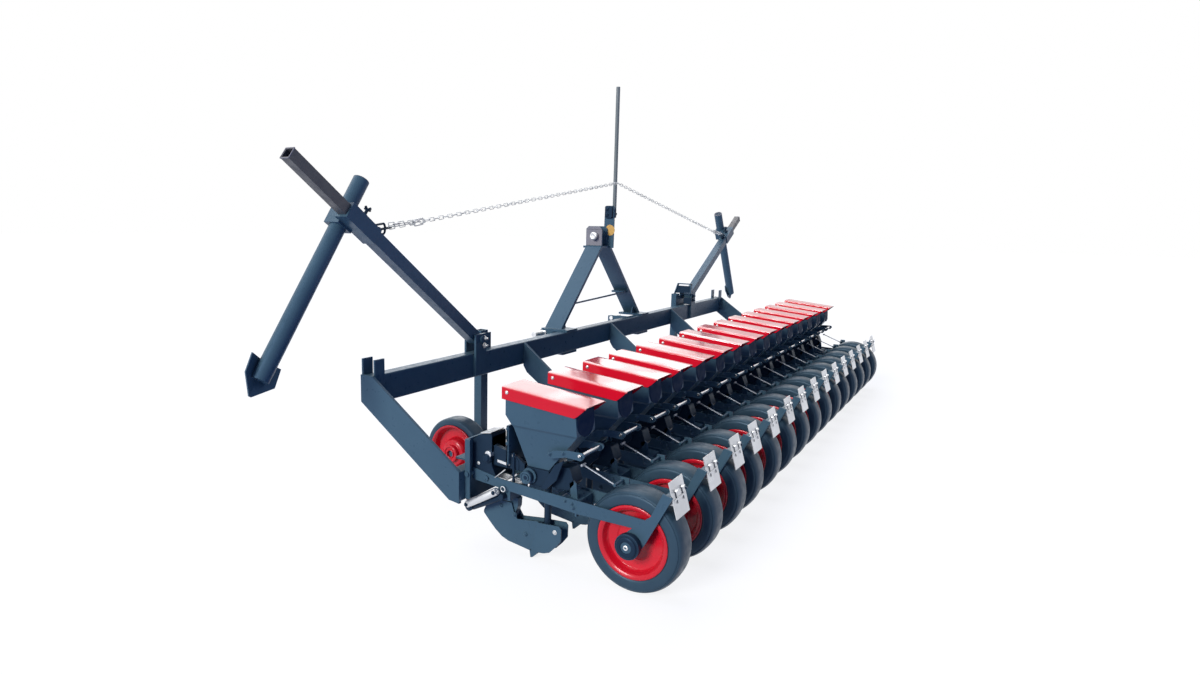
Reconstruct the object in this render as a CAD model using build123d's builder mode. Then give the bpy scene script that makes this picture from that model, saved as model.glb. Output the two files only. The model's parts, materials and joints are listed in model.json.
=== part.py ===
# Multi-row vegetable seeder for a three-point linkage.
# Millimetres. +X is the machine's right, +Y is the travel direction, +Z is up.
# The origin is on the ground under the middle of the machine's box.
import math
import os

from build123d import *

os.makedirs("parts", exist_ok=True)

# ---------------------------------------------------------------- sizes
row_pitch = 250.0
row_count = 15
near_row_shift = [-20.0, 14.0, 19.0, -12.0]    # the first rows stand unevenly on the toolbar
side_shift = -38.0                             # these two move everything so that the box is centred
box_shift = -10.0
lift = 10.0                                    # heights below are from a line this far above the ground

wheel_y = -540.0                               # press wheel
wheel_r = 165.0
wheel_w = 98.0
axle_r = 8.0
wheel_z = wheel_r - lift
running_gap = 0.05

bar_h = 105.0                                  # toolbars
bar_d = 52.0
bar_half = 1876.0
front_bar_y = 515.0
front_bar_z = 500.0
rear_bar_y = 104.0
rear_bar_z = 221.0
plate_t = 12.0

drive_x = 1366.0                               # drive wheels
drive_y = 503.0
drive_r = 148.0
drive_w = 82.0
drive_z = drive_r - lift
leg_x = 1131.0
stub_r = 15.0

marker_x = 1244.0                              # row markers
marker_z = 612.0
marker_tilt = {"left": 36.6, "right": 28.9}
leg_turn = {"left": 2.0, "right": -3.2}        # the leg is not quite square to the arm
marker_clamp = {"left": 853.0, "right": 916.0}
marker_above = {"left": 165.0, "right": 178.0}
marker_below = {"left": 705.0, "right": 668.0}
arm_w = 50.0
ext_w = 40.0
arm_end = {"left": 1188.0, "right": 1158.0}
leg_r = 30.0

top_pin_y = 588.0                              # category 2 linkage
top_pin_z = 1046.0
top_pin_r = 12.7
low_pin_y = 690.0
low_pin_z = 522.0
low_pin_r = 14.2
low_span = 825.0

lid_pin_y = -81.0                              # hopper lid
lid_pin_z = 566.0
lid_pin_r = 4.0

rows = []
for k in range(row_count):
    shift = near_row_shift[k] if k < len(near_row_shift) else 0.0
    rows.append((k - (row_count - 1) / 2) * row_pitch + shift)
row_places = [(x, 0.0, 0.0) for x in rows]

fb_rear = front_bar_y - bar_d / 2
fb_front = front_bar_y + bar_d / 2
fb_low = front_bar_z - bar_h / 2
fb_top = front_bar_z + bar_h / 2
rb_rear = rear_bar_y - bar_d / 2
rb_front = rear_bar_y + bar_d / 2
rb_low = rear_bar_z - bar_h / 2
rb_top = rear_bar_z + bar_h / 2


def plate(points, x0, x1, mode=Mode.ADD):
    """Add a plate whose outline is in Y and Z, between two X positions."""
    with BuildSketch(Plane.YZ.offset(x0)) as outline:
        with BuildLine():
            Polyline(*points, close=True)
        make_face()
    extrude(outline.sketch, amount=x1 - x0, mode=mode)


def panel(points, y0, y1, mode=Mode.ADD):
    """Add a plate whose outline is in X and Z, between two Y positions."""
    with BuildSketch(Plane(origin=(0, y0, 0), x_dir=(1, 0, 0), z_dir=(0, -1, 0))) as outline:
        with BuildLine():
            Polyline(*points, close=True)
        make_face()
    extrude(outline.sketch, amount=y0 - y1, mode=mode)


def block(x0, x1, y0, y1, z0, z1, mode=Mode.ADD):
    """Add a box given by its limits."""
    with Locations(((x0 + x1) / 2, (y0 + y1) / 2, (z0 + z1) / 2)):
        Box(x1 - x0, y1 - y0, z1 - z0, mode=mode)


def rod(a, b, r, mode=Mode.ADD):
    """Add a round rod from one point to another."""
    a, b = Vector(*a), Vector(*b)
    with Locations(Plane(origin=a, z_dir=b - a)):
        Cylinder(r, (b - a).length, align=(Align.CENTER, Align.CENTER, Align.MIN), mode=mode)


def beam(plane, w, h, start, end, mode=Mode.ADD):
    """Add a rectangular bar along a plane's normal, from one distance to another."""
    with BuildSketch(plane.offset(start)) as section:
        Rectangle(w, h)
    extrude(section.sketch, amount=end - start, mode=mode)


def save(part, name):
    """Label one sub-part, set it in the middle of the machine's box and write its STEP file."""
    part = part.moved(Location((side_shift, box_shift, lift)))
    part.label = name
    export_step(part, "parts/" + name + ".step")


# ---------------------------------------------------------------- frame
with BuildPart() as front_toolbar:
    block(-bar_half, bar_half, fb_rear, fb_front, fb_low, fb_top)
    fillet(front_toolbar.edges().filter_by(Axis.X), 5)
save(front_toolbar.part, "front_toolbar")

with BuildPart() as rear_toolbar:
    block(-bar_half, bar_half, rb_rear, rb_front, rb_low, rb_top)
    fillet(rear_toolbar.edges().filter_by(Axis.X), 5)
save(rear_toolbar.part, "rear_toolbar")

end_outline = [(539, 556), (539, 454), (122, 168), (108, 167), (78, 163), (78, 275), (484, 555)]
mid_outline = [(fb_rear, fb_top - 2), (fb_rear, fb_low - 8), (fb_rear - 20, fb_low - 38), (rb_front, rb_low + 10),
               (rb_front, rb_top)]
with BuildPart() as frame_plates:
    plate(end_outline, -bar_half - plate_t, -bar_half)
    plate(end_outline, bar_half, bar_half + plate_t)
    for x in (-890.0, 0.0, 890.0):
        plate(mid_outline, x - 8, x + 8)
save(frame_plates.part, "frame_plates")

# ---------------------------------------------------------------- headstock
crown_out = 61.0                               # outer face of a leg at the crown and at the foot
foot_out = 483.0
stock_x = -5.0
leg_rear = 532.0
leg_front = 632.0
crown_z = 986.0
with BuildPart() as headstock:
    for side in (-1, 1):
        # leg: a broad flat bar that leans in to the crown
        panel([(stock_x + side * crown_out, crown_z), (stock_x + side * (foot_out + 8), fb_top),
               (stock_x + side * (foot_out - 16), fb_top), (stock_x + side * (crown_out - 25), crown_z)],
              leg_rear, leg_front)
        # foot plate, clamp plate under the bar and a gusset
        foot = stock_x + side * 452
        block(foot - 52, foot + 52, 480, 640, fb_top, fb_top + 12)
        block(foot - 70, foot + 70, 492, 640, fb_low - 12, fb_low)
        panel([(foot, fb_top + 12), (foot - side * 52, fb_top + 12), (foot - side * 24, fb_top + 66)], 550, 558)
    # lower link plates
    for side in (-1, 1):
        plate([(fb_front, 540), (fb_front, 436), (640, 436), (low_pin_y + 24, 490), (low_pin_y + 24, 536),
               (640, 540)], side * 400 - 6, side * 400 + 6)
        rod((side * 390, low_pin_y, low_pin_z), (side * 410, low_pin_y, low_pin_z), 12.05, mode=Mode.SUBTRACT)
    # crown plate, thin tie and the step plate on its end
    block(-64, 60, leg_rear, 650, crown_z - 8, crown_z + 4)
    rod((-338, 552, 684), (280, 552, 704), 5)
    block(272, 320, 545, 632, 700, 712)
    # top link ears
    for side in (-1, 1):
        plate([(545, crown_z), (545, 1085), (560, 1101), (632, 1101), (648, 1086), (648, crown_z)],
              side * 31 - 5, side * 31 + 5)
    rod((-60, top_pin_y, top_pin_z), (60, top_pin_y, top_pin_z), top_pin_r + 0.25, mode=Mode.SUBTRACT)
    # mast plate
    plate([(511, crown_z - 8), (509, 1206), (519, 1218), (560, 1218), (569, 1206), (574, crown_z - 8)], 36, 46)
save(headstock.part, "headstock")

with BuildPart() as hitch_pins:
    for side in (-1, 1):
        rod((side * 414, low_pin_y, low_pin_z), (side * 505, low_pin_y, low_pin_z), low_pin_r)
        rod((side * 406.05, low_pin_y, low_pin_z), (side * 414, low_pin_y, low_pin_z), 20)
        rod((side * 388, low_pin_y, low_pin_z), (side * 406.05, low_pin_y, low_pin_z), 12)
    rod((-50, top_pin_y, top_pin_z), (58, top_pin_y, top_pin_z), top_pin_r)
    rod((-58, top_pin_y, top_pin_z), (-50, top_pin_y, top_pin_z), 22)
save(hitch_pins.part, "hitch_pins")

with BuildPart() as mast:
    rod((57, 519, 1186), (57, 519, 1874), 11)
save(mast.part, "mast")

# ---------------------------------------------------------------- drive wheels and their legs
half_w = drive_w / 2
with BuildPart() as wheel_legs:
    for side in (-1, 1):
        x = side * leg_x
        block(x - 24, x + 24, fb_front + 4, fb_front + 44, drive_z - 25, 632)
        block(x - 20, x + 20, fb_front + 8, fb_front + 40, 560, 640, mode=Mode.SUBTRACT)
        block(x - 24, x + 24, drive_y - 28, fb_front + 44, drive_z - 25, drive_z + 25)
        block(x - 42, x + 42, fb_front, fb_front + 4, fb_low - 8, 620)
        rod((x, drive_y, drive_z), (side * (drive_x + half_w + 8), drive_y, drive_z), stub_r)
        rod((side * (leg_x + 24), drive_y, drive_z), (side * (drive_x - 50), drive_y, drive_z), 22)
save(wheel_legs.part, "wheel_legs")

drive_section = [(stub_r + running_gap, -44), (38, -44), (38, -8), (104, -8), (108, -half_w + 4), (118, -half_w),
                 (drive_r - 8, -half_w), (drive_r, -half_w + 12), (drive_r, half_w - 12), (drive_r - 8, half_w),
                 (119, half_w), (118, half_w + 4), (113, half_w + 4), (104, half_w - 8), (99, 8), (62, 2), (60, 30),
                 (52, 40), (37, 42), (36, 60), (28, 62), (stub_r + running_gap, 62)]
with BuildPart() as drive_wheel:
    with BuildSketch(Plane.XY) as section:
        with BuildLine():
            Polyline(*drive_section, close=True)
        make_face()
    revolve(axis=Axis.Y)
for side, name in ((-1, "drive_wheel_left"), (1, "drive_wheel_right")):
    turned = drive_wheel.part.rotate(Axis.Z, -side * 90)
    save(turned.moved(Location((side * drive_x, drive_y, drive_z))), name)

# ---------------------------------------------------------------- row units
bracket_half = 81.0
with BuildPart() as bracket:
    plate([(68, 168), (68, 385), (77, 385), (77, 168)], -bracket_half, bracket_half)
    for side in (-1, 1):
        flange = side * (bracket_half + 3)
        plate([(56, 175), (56, 385), (77, 385), (77, 175)], flange - 3, flange + 3)
        rod((flange + side * 3, 68, 263), (flange + side * 8, 68, 263), 9)
        rod((side * 59.5, 66, 263), (side * bracket_half, 66, 263), 8)
    plate([(56, 150), (56, 180), (77, 180), (77, 150)], -71, -64)
    block(-65, 65, 77, rb_front + 6, 300, 306)
with BuildPart() as unit_brackets:
    with Locations(*row_places):
        add(bracket.part)
save(unit_brackets.part, "unit_brackets")

arm_outline = [(66, 281), (66, 245), (50, 238), (-352, 208), (-352, 252), (-60, 262)]
with BuildPart() as arm_pair:
    for side in (-1, 1):
        plate(arm_outline, side * 57 - 2.5, side * 57 + 2.5)
        rod((side * 59.5, 4, 254), (side * 65, 4, 254), 9)
    plate([(-300, 240), (-300, 246), (-348, 243), (-348, 196), (-342, 196), (-342, 237)], -54.5, 54.5)
    plate([(-20, 236), (-20, 242), (40, 246), (40, 240)], -54.5, 54.5)
    plate([(-312, 246), (-336, 243), (-330, 292), (-318, 302), (-304, 290)], -28, -22)
    rod((-54.5, -250, 228), (54.5, -250, 228), 7)
with BuildPart() as unit_arms:
    with Locations(*row_places):
        add(arm_pair.part)
save(unit_arms.part, "unit_arms")

# hopper: an upright box on a tapered lower part, all of 3 mm sheet, open at the top
hop_half = 59.0
hop_t = 3.0
hop_low_half = 38.0
hop_top_front = -71.0
hop_front = -96.0
hop_rear = -345.0
hop_waist = 458.0
hop_ledge = 8.0
hop_low_front = -150.0
hop_low_rear = -232.0
hop_low = 322.0


def taper(z0, half0, front0, rear0, z1, half1, front1, rear1, mode=Mode.ADD):
    """Add a ruled block between two rectangles at different heights."""
    with BuildSketch(Plane.XY.offset(z0)) as wide:
        with Locations((0, (front0 + rear0) / 2)):
            Rectangle(2 * half0, front0 - rear0)
    with BuildSketch(Plane.XY.offset(z1)) as narrow:
        with Locations((0, (front1 + rear1) / 2)):
            Rectangle(2 * half1, front1 - rear1)
    loft([wide.sketch.faces()[0], narrow.sketch.faces()[0]], ruled=True, mode=mode)


with BuildPart() as hopper:
    plate([(hop_top_front, 576), (hop_top_front, 488), (hop_front, hop_waist), (hop_rear, hop_waist),
           (hop_rear + 8, 548)], -hop_half, hop_half)
    taper(hop_waist, hop_half, hop_front, hop_rear, hop_waist - hop_ledge, hop_half - 5, hop_front - 5, hop_rear + 5)
    taper(hop_waist - hop_ledge, hop_half - 5, hop_front - 5, hop_rear + 5, hop_low, hop_low_half, hop_low_front, hop_low_rear)
    plate([(hop_top_front - hop_t, 600), (hop_top_front - hop_t, 489), (hop_front - hop_t, hop_waist - 1),
           (hop_rear + hop_t, hop_waist - 1), (hop_rear + 8 + hop_t, 548), (hop_rear + 8 + hop_t, 600)],
          -hop_half + hop_t, hop_half - hop_t, mode=Mode.SUBTRACT)
    taper(hop_waist + 0.5, hop_half - hop_t - 3, hop_front - hop_t - 3, hop_rear + hop_t + 3,
          hop_waist - hop_ledge, hop_half - hop_t - 5, hop_front - hop_t - 5, hop_rear + hop_t + 5, mode=Mode.SUBTRACT)
    taper(hop_waist - hop_ledge + 0.5, hop_half - hop_t - 5, hop_front - hop_t - 5, hop_rear + hop_t + 5,
          hop_low + hop_t, hop_low_half - hop_t, hop_low_front - hop_t, hop_low_rear + hop_t, mode=Mode.SUBTRACT)
    for side in (-1, 1):
        rod((side * (hop_half - hop_t), lid_pin_y, lid_pin_z), (side * 70, lid_pin_y, lid_pin_z), lid_pin_r)
    # sight window opening in the rear wall
    panel([(-46, hop_waist + 74), (46, hop_waist + 74), (46, hop_waist + 45), (40, hop_waist + 22),
           (26, hop_waist + 7), (10, hop_waist + 3), (-10, hop_waist + 3), (-26, hop_waist + 7),
           (-40, hop_waist + 22), (-46, hop_waist + 45)], hop_rear - 5, hop_rear + 15, mode=Mode.SUBTRACT)
with BuildPart() as hoppers:
    with Locations(*row_places):
        add(hopper.part)
save(hoppers.part, "hoppers")

window_plane = Plane(origin=(0, hop_rear - 0.2, hop_waist), x_dir=(1, 0, 0), z_dir=(0, -90, 8))
with BuildPart() as window:
    with BuildSketch(window_plane) as pane:
        with Locations((0, 45)):
            Circle(55)
        with Locations((0, 62)):
            Rectangle(110, 34)
        with Locations((0, 109)):
            Rectangle(120, 60, mode=Mode.SUBTRACT)
    extrude(pane.sketch, amount=2)
with BuildPart() as hopper_windows:
    with Locations(*row_places):
        add(window.part)
save(hopper_windows.part, "hopper_windows")

lid_side = [(-60, 586), (-60, 542), (-340, 518), (-378, 556)]
with BuildPart() as lid:
    plate([(-60, 586), (-60, 584), (-378, 554), (-378, 556)], -66, 66)
    for side in (-1, 1):
        plate(lid_side, side * 65 - 1, side * 65 + 1)
    rod((-80, lid_pin_y, lid_pin_z), (80, lid_pin_y, lid_pin_z), lid_pin_r + running_gap, mode=Mode.SUBTRACT)
for k, x in enumerate(rows, 1):
    save(lid.part.moved(Location((x, 0, 0))), f"lid_{k}")

with BuildPart() as meter:
    block(-38, 38, -236, -146, 263, hop_low)
    rod((-62, -162, 292), (-38, -162, 292), 20)
    rod((-68, -162, 292), (-62, -162, 292), 12)
    plate([(20, 300), (20, 350), (-20, 372), (-100, 352), (-140, 326), (-140, 300)], -44, -30)
    plate([(66, 300), (66, 380), (34, 402), (-10, 410), (-14, 402), (-14, 300)], -52, 26)
    rod((-66, 2, 326), (-50, 2, 326), 16)
    block(-30, 34, -150, -110, 296, 318)
    block(-30, 34, -90, 14, 306, 318)
    panel([(-58, 306), (-58, 450), (58, 450), (58, 306)], -80, -75)
    rod((-80, -4, 340), (60, -4, 340), 12.8, mode=Mode.SUBTRACT)
    rod((-49, -100, 240), (-49, -100, 360), 4.5)
    block(-50, -30, -106, -94, 300, 306)
with BuildPart() as metering_units:
    with Locations(*row_places):
        add(meter.part)
save(metering_units.part, "metering_units")

with BuildPart() as drive_shaft:
    rod((-1835, -4, 340), (1835, -4, 340), 12)
save(drive_shaft.part, "drive_shaft")

# opener: a curved shoe of two side plates with a wider heel box behind, hung on a lower link
shoe_outline = [(45, 118), (45, 109), (18, 81), (-6, 59), (-33, 40), (-60, 30), (-99, 25), (-151, 18), (-166, 76),
                (-184, 124), (-180, 128), (-97, 117), (-84, 135), (-72, 170), (20, 170)]
heel_outline = [(-186, 126), (-172, 100), (-168, 76), (-151, 27), (-187, 21), (-208, 24), (-230, 32), (-254, 57),
                (-273, 82), (-274, 123), (-266, 132)]
blade_outline = [(45, 118), (45, 109), (18, 81), (-6, 59), (-33, 40), (-60, 30), (-60, 44), (-35, 54), (-14, 72),
                 (8, 92), (32, 118)]
tip_outline = [(-60, 31), (-110, 26), (-146, 19), (-150, -8), (-158, -6), (-178, 14), (-170, 34), (-120, 38), (-60, 44)]
boss_outline = [(-38, 194), (-64, 203), (-95, 186), (-93, 157), (-84, 136), (-84, 120), (-46, 120), (-51, 170)]
with BuildPart() as opener:
    for side in (-1, 1):
        plate(shoe_outline, side * 18 - 2, side * 18 + 2)
        plate(heel_outline, side * 22 - 2, side * 22 + 2)
    plate(blade_outline, -16, 16)
    plate(tip_outline, -16, 16)
    block(-20, 20, -184, -176, 50, 118)
    plate(boss_outline, -13, 13)
    rod((-18, -58, 150), (18, -58, 150), 8)
    block(-54, 54, -90, -40, 190, 228)
    rod((-8, 60, 160), (-8, -42, 206), 10)
with BuildPart() as openers:
    with Locations(*row_places):
        add(opener.part)
save(openers.part, "openers")

with BuildPart() as tube:
    rod((0, -207, 262.5), (0, -207, 60), 12)
with BuildPart() as seed_tubes:
    with Locations(*row_places):
        add(tube.part)
save(seed_tubes.part, "seed_tubes")

fork_outline = [(-352, 252), (-585, 243), (-604, 258), (-640, 338), (-672, 330), (-592, 172), (-562, 122), (-520, 122),
                (-500, 165), (-545, 209), (-352, 208)]
with BuildPart() as fork:
    for side in (-1, 1):
        plate(fork_outline, side * 57 - 2.5, side * 57 + 2.5)
        rod((side * 58, wheel_y, wheel_z), (side * 70, wheel_y, wheel_z), 16)
        rod((side * 66, wheel_y, wheel_z), (side * 84, wheel_y, wheel_z), 40)
        rod((side * 84, wheel_y, wheel_z), (side * 88, wheel_y, wheel_z), 33)
    rod((-66, wheel_y, wheel_z), (66, wheel_y, wheel_z), axle_r)
    block(-57, 57, -661, -640, 322, 328)
    plate([(-476, 246), (-476, 318), (-446, 318), (-436, 246)], 54.5, 59.5)
    rod((56, -454, 308.4), (-6, -454, 308.4), 5)
with BuildPart() as press_forks:
    with Locations(*row_places):
        add(fork.part)
save(press_forks.part, "press_forks")

with BuildPart() as scraper:
    plate([(-651, 371), (-654, 371.6), (-685, 264), (-682, 263.4)], -50, 50)
    block(-40, 40, -672, -655, 300, 321.5)
with BuildPart() as scraper_plates:
    with Locations(*row_places):
        add(scraper.part)
save(scraper_plates.part, "scraper_plates")

with BuildPart() as depth_rod:
    rod((0, -338, 352), (0, -447, 311), 3)
    rod((-14, -338, 352), (14, -338, 352), 5)
with BuildPart() as depth_rods:
    with Locations(*row_places):
        add(depth_rod.part)
save(depth_rods.part, "depth_rods")

# handle: a cross bar on two flat levers bolted to the hopper's tapered sides
lever_outline = [(-232, 380), (-262, 402), (-318, 412), (-372, 412), (-379, 402), (-367, 386), (-311, 388), (-250, 372)]
with BuildPart() as handle:
    for side in (-1, 1):
        plate(lever_outline, side * 64 - 2, side * 64 + 2)
        rod((side * 48.4, -280, 400), (side * 68, -280, 400), 5)
    rod((-68, -366, 401), (68, -366, 401), 6)
with BuildPart() as handles:
    with Locations(*row_places):
        add(handle.part)
save(handles.part, "handles")

with BuildPart() as spring:
    rod((-82, 62, 158), (-82, -51, 223), 9)
    rod((-90, 62, 158), (-71, 62, 158), 4)
    rod((-90, -51, 223), (-60, -51, 223), 4)
with BuildPart() as springs:
    with Locations(*row_places):
        add(spring.part)
save(springs.part, "springs")

# press wheel: a smooth tyre on a dished rim with a hub
half_w = wheel_w / 2
wheel_section = [(axle_r + running_gap, -49), (26, -49), (26, -16), (60, -16), (92, -24), (104, -half_w + 4),
                 (112, -half_w), (118, -half_w + 3), (wheel_r - 18, -half_w + 1), (wheel_r - 7, -half_w + 8),
                 (wheel_r - 1.5, -half_w + 18), (wheel_r, -16), (wheel_r, 16), (wheel_r - 1.5, half_w - 18),
                 (wheel_r - 7, half_w - 8), (wheel_r - 18, half_w - 1), (118, half_w - 3), (112, half_w),
                 (104, half_w - 4), (92, -14), (60, -6), (26, -6), (26, 49), (axle_r + running_gap, 49)]
with BuildPart() as press_wheel:
    with BuildSketch(Plane.XY) as section:
        with BuildLine():
            Polyline(*wheel_section, close=True)
        make_face()
    revolve(axis=Axis.Y)
turned = press_wheel.part.rotate(Axis.Z, 90)
for k, x in enumerate(rows, 1):
    save(turned.moved(Location((x, wheel_y, wheel_z))), f"press_wheel_{k}")

# ---------------------------------------------------------------- row markers
ends = {}
for side, name in ((-1, "left"), (1, "right")):
    tilt = math.radians(marker_tilt[name])
    along = Vector(side * math.cos(tilt), 0, math.sin(tilt))
    down = Vector(side * math.sin(tilt), 0, -math.cos(tilt))
    pivot = Vector(side * marker_x, front_bar_y, marker_z)
    clamp = pivot + along * marker_clamp[name]
    leg_axis = clamp + Vector(0, 57, 0)
    lean = tilt - math.radians(leg_turn[name])
    across = Vector(side * math.cos(lean), 0, math.sin(lean))
    leg_down = Vector(side * math.sin(lean), 0, -math.cos(lean))
    arm_plane = Plane(origin=pivot, x_dir=(0, 1, 0), z_dir=along)
    leg_plane = Plane(origin=leg_axis, x_dir=(0, 1, 0), z_dir=leg_down)
    with BuildPart() as marker_arm:
        beam(arm_plane, arm_w, arm_w, 0, marker_clamp[name] + 50)
        beam(arm_plane, arm_w + 10, arm_w + 10, marker_clamp[name] - 110, marker_clamp[name] + 50)
        rod(pivot + Vector(0, -25, 0), pivot + Vector(0, 25, 0), 25)
        beam(arm_plane, ext_w + 1, ext_w + 1, 60, 1200, mode=Mode.SUBTRACT)
        beam(leg_plane, 72, 70, -40, 40)
        rod(leg_axis - leg_down * 60, leg_axis + leg_down * 60, leg_r + 0.3, mode=Mode.SUBTRACT)
        beam(arm_plane, ext_w + 1, ext_w + 1, marker_clamp[name] - 60, 1200, mode=Mode.SUBTRACT)
        rod(pivot + Vector(0, -60, 0), pivot + Vector(0, 60, 0), 10.06, mode=Mode.SUBTRACT)
        # eye for the chain
        eye = pivot + along * (marker_clamp[name] - 118) - down * (arm_w / 2)
        rod(eye + Vector(0, -5, 0) - down * 11, eye + Vector(0, 5, 0) - down * 11, 13)
        rod(eye + Vector(0, -6, 0) - down * 14, eye + Vector(0, 6, 0) - down * 14, 6, mode=Mode.SUBTRACT)
    save(marker_arm.part, "marker_arm_" + name)
    with BuildPart() as marker_tube:
        beam(arm_plane, ext_w, ext_w, 420, arm_end[name])
        beam(arm_plane, ext_w - 8, ext_w - 8, 410, arm_end[name] + 10, mode=Mode.SUBTRACT)
    save(marker_tube.part, "marker_tube_" + name)
    swept = leg_down * math.cos(math.radians(12)) + Vector(0, -math.sin(math.radians(12)), 0)
    blade_axis = Plane(origin=leg_axis + leg_down * (marker_below[name] - 148), x_dir=swept.cross(across) * -side,
                       z_dir=swept)
    with BuildPart() as shovel:
        # a folded plate with its ridge forward, its point swept back, cut to an arrow
        with BuildSketch(blade_axis) as fold:
            with BuildLine():
                Polyline((43, 0), (17, 70), (11, 70), (36, 0), (11, -70), (17, -70), close=True)
            make_face()
        extrude(fold.sketch, amount=190)
        tip = leg_axis + leg_down * marker_below[name]
        blade_plane = Plane(origin=tip + Vector(0, -120, 0), x_dir=across, z_dir=(0, -1, 0))
        flip = side * 1.0
        with BuildSketch(blade_plane) as arrow:
            with BuildLine():
                Polyline((-4, flip * 12), (4, flip * 12), (64, flip * 72), (64, flip * 140),
                         (-64, flip * 140), (-64, flip * 72), close=True)
            make_face()
        extrude(arrow.sketch, amount=-220, mode=Mode.INTERSECT)
    with BuildPart() as marker_leg:
        rod(leg_axis - leg_down * marker_above[name], leg_axis + leg_down * (marker_below[name] - 70), leg_r)
        with BuildSketch(blade_axis) as ahead:
            with BuildLine():
                Polyline((39, 0), (14, 70), (14, 90), (120, 90), (120, -90), (14, -90), (14, -70), close=True)
            make_face()
        extrude(ahead.sketch, amount=190, mode=Mode.SUBTRACT)
        add(shovel.part)
    save(marker_leg.part, "marker_leg_" + name)
    ends[name] = eye

with BuildPart() as marker_brackets:
    for side in (-1, 1):
        x = side * marker_x
        for inner, outer, y, inward in ((x - side * 31, x + side * 41, fb_rear - 15, 10),
                                        (x - side * 58, x + side * 18, fb_front + 15, -10)):
            x0, x1 = min(inner, outer), max(inner, outer)
            y0, y1 = min(y, y + inward), max(y, y + inward)
            block(x0, x1, y0, y1, fb_low + 8, 636)
            y0, y1 = min(y + inward, y + 1.5 * inward), max(y + inward, y + 1.5 * inward)
            block(x0, x1, y0, y1, fb_low + 8, fb_top - 6)
        rod((x, fb_rear - 24, marker_z), (x, fb_front + 24, marker_z), 10)
        rod((x, fb_rear - 24, marker_z), (x, fb_rear - 15, marker_z), 16)
        for y in (fb_rear - 8, fb_front):
            block(side * (bar_half - 28) - 24, side * (bar_half - 28) + 24, y, y + 8, fb_top - 32, fb_top + 60)
save(marker_brackets.part, "marker_brackets")

# chains from the mast plate to the marker arms
with BuildPart() as marker_chains:
    for name in ("left", "right"):
        mast_hook = Vector(57, 506, 1346)
        run = (mast_hook - ends[name]).normalized()
        rod(ends[name] + run * 24, mast_hook - run * 14, 3)
save(marker_chains.part, "marker_chains")
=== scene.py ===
# Vegetable seeder for a three-point linkage, fifteen rows on a two-bar frame.
# Metres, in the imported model's frame: +X is the machine's right, +Y the travel direction, +Z up.
import json
import math

import bmesh
import bpy
import numpy as np
from mathutils import Matrix, Vector


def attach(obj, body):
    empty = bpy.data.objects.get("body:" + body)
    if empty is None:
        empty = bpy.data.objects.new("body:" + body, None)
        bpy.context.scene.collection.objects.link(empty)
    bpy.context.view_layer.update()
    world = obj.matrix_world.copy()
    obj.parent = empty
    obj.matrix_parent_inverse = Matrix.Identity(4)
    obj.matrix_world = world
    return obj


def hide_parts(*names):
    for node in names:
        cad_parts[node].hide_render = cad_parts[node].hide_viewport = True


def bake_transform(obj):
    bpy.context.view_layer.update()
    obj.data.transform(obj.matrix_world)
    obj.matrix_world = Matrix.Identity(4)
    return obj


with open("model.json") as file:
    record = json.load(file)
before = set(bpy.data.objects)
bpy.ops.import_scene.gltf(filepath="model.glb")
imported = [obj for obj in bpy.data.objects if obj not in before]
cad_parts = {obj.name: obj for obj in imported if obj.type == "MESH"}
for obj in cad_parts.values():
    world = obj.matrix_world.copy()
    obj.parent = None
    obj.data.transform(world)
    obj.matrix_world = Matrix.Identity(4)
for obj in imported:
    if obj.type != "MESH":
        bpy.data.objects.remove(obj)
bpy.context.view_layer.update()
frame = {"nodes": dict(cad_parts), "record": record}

nodes = frame["nodes"]
scene = bpy.context.scene
rng = np.random.default_rng(15)

# ---------------------------------------------------------------- camera
# Stands behind the left end of the machine at chest height and looks along the rows, a little
# down and leaning by a degree, through a wide lens with a small shift.
yaw, pitch, roll = math.radians(58.061), math.radians(8.634), math.radians(1.099)
ahead = Vector((math.sin(yaw) * math.cos(pitch), math.cos(yaw) * math.cos(pitch), -math.sin(pitch)))
level = Vector((math.cos(yaw), -math.sin(yaw), 0.0))
upright = level.cross(ahead)
right = level * math.cos(roll) + upright * math.sin(roll)
above = upright * math.cos(roll) - level * math.sin(roll)
camera = bpy.data.objects.new("camera", bpy.data.cameras.new("camera"))
camera.matrix_world = Matrix((right, above, -ahead)).transposed().to_4x4()
camera.location = (-3.7990, -1.4552, 1.1338)
camera.data.sensor_width = 36.0
camera.data.lens = 22.065
camera.data.shift_x = 0.0412
camera.data.shift_y = -0.0038
camera.data.clip_end = 200.0
scene.collection.objects.link(camera)
scene.camera = camera

# ---------------------------------------------------------------- light and floor
# A large soft lamp on the machine's left, a weaker one from above the front, a third beyond the
# far end that gives level faces their sheen, and an even white surround. The floor is pale and
# takes the machine's shadow.
scene.view_settings.view_transform = "Standard"


def sun(name, towards, strength, spread):
    """A distant lamp: light comes from the direction `towards`, over a disc `spread` degrees wide."""
    lamp = bpy.data.objects.new(name, bpy.data.lights.new(name, "SUN"))
    lamp.data.energy = strength
    lamp.data.angle = math.radians(spread)
    lamp.rotation_euler = Vector(towards).to_track_quat("Z", "Y").to_euler()
    scene.collection.objects.link(lamp)
    return lamp


sun("key", (-0.90, 0.14, 0.40), 3.1, 22.0)
sun("fill", (0.10, 0.50, 0.86), 1.25, 60.0)
sun("glow", (ahead.x, ahead.y, 0.60), 0.62, 42.0)


def node_tree(owner):
    """Empty the owner's node tree and return it with a function that adds and wires one node."""
    owner.use_nodes = True
    tree = owner.node_tree
    tree.nodes.clear()

    def add(kind, wires=None, **settings):
        node = tree.nodes.new("ShaderNode" + kind)
        for key, value in settings.items():
            setattr(node, key, value)
        for socket, value in (wires or {}).items():
            if isinstance(value, bpy.types.NodeSocket):
                tree.links.new(value, node.inputs[socket])
            else:
                node.inputs[socket].default_value = value
        return node

    return add


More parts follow.
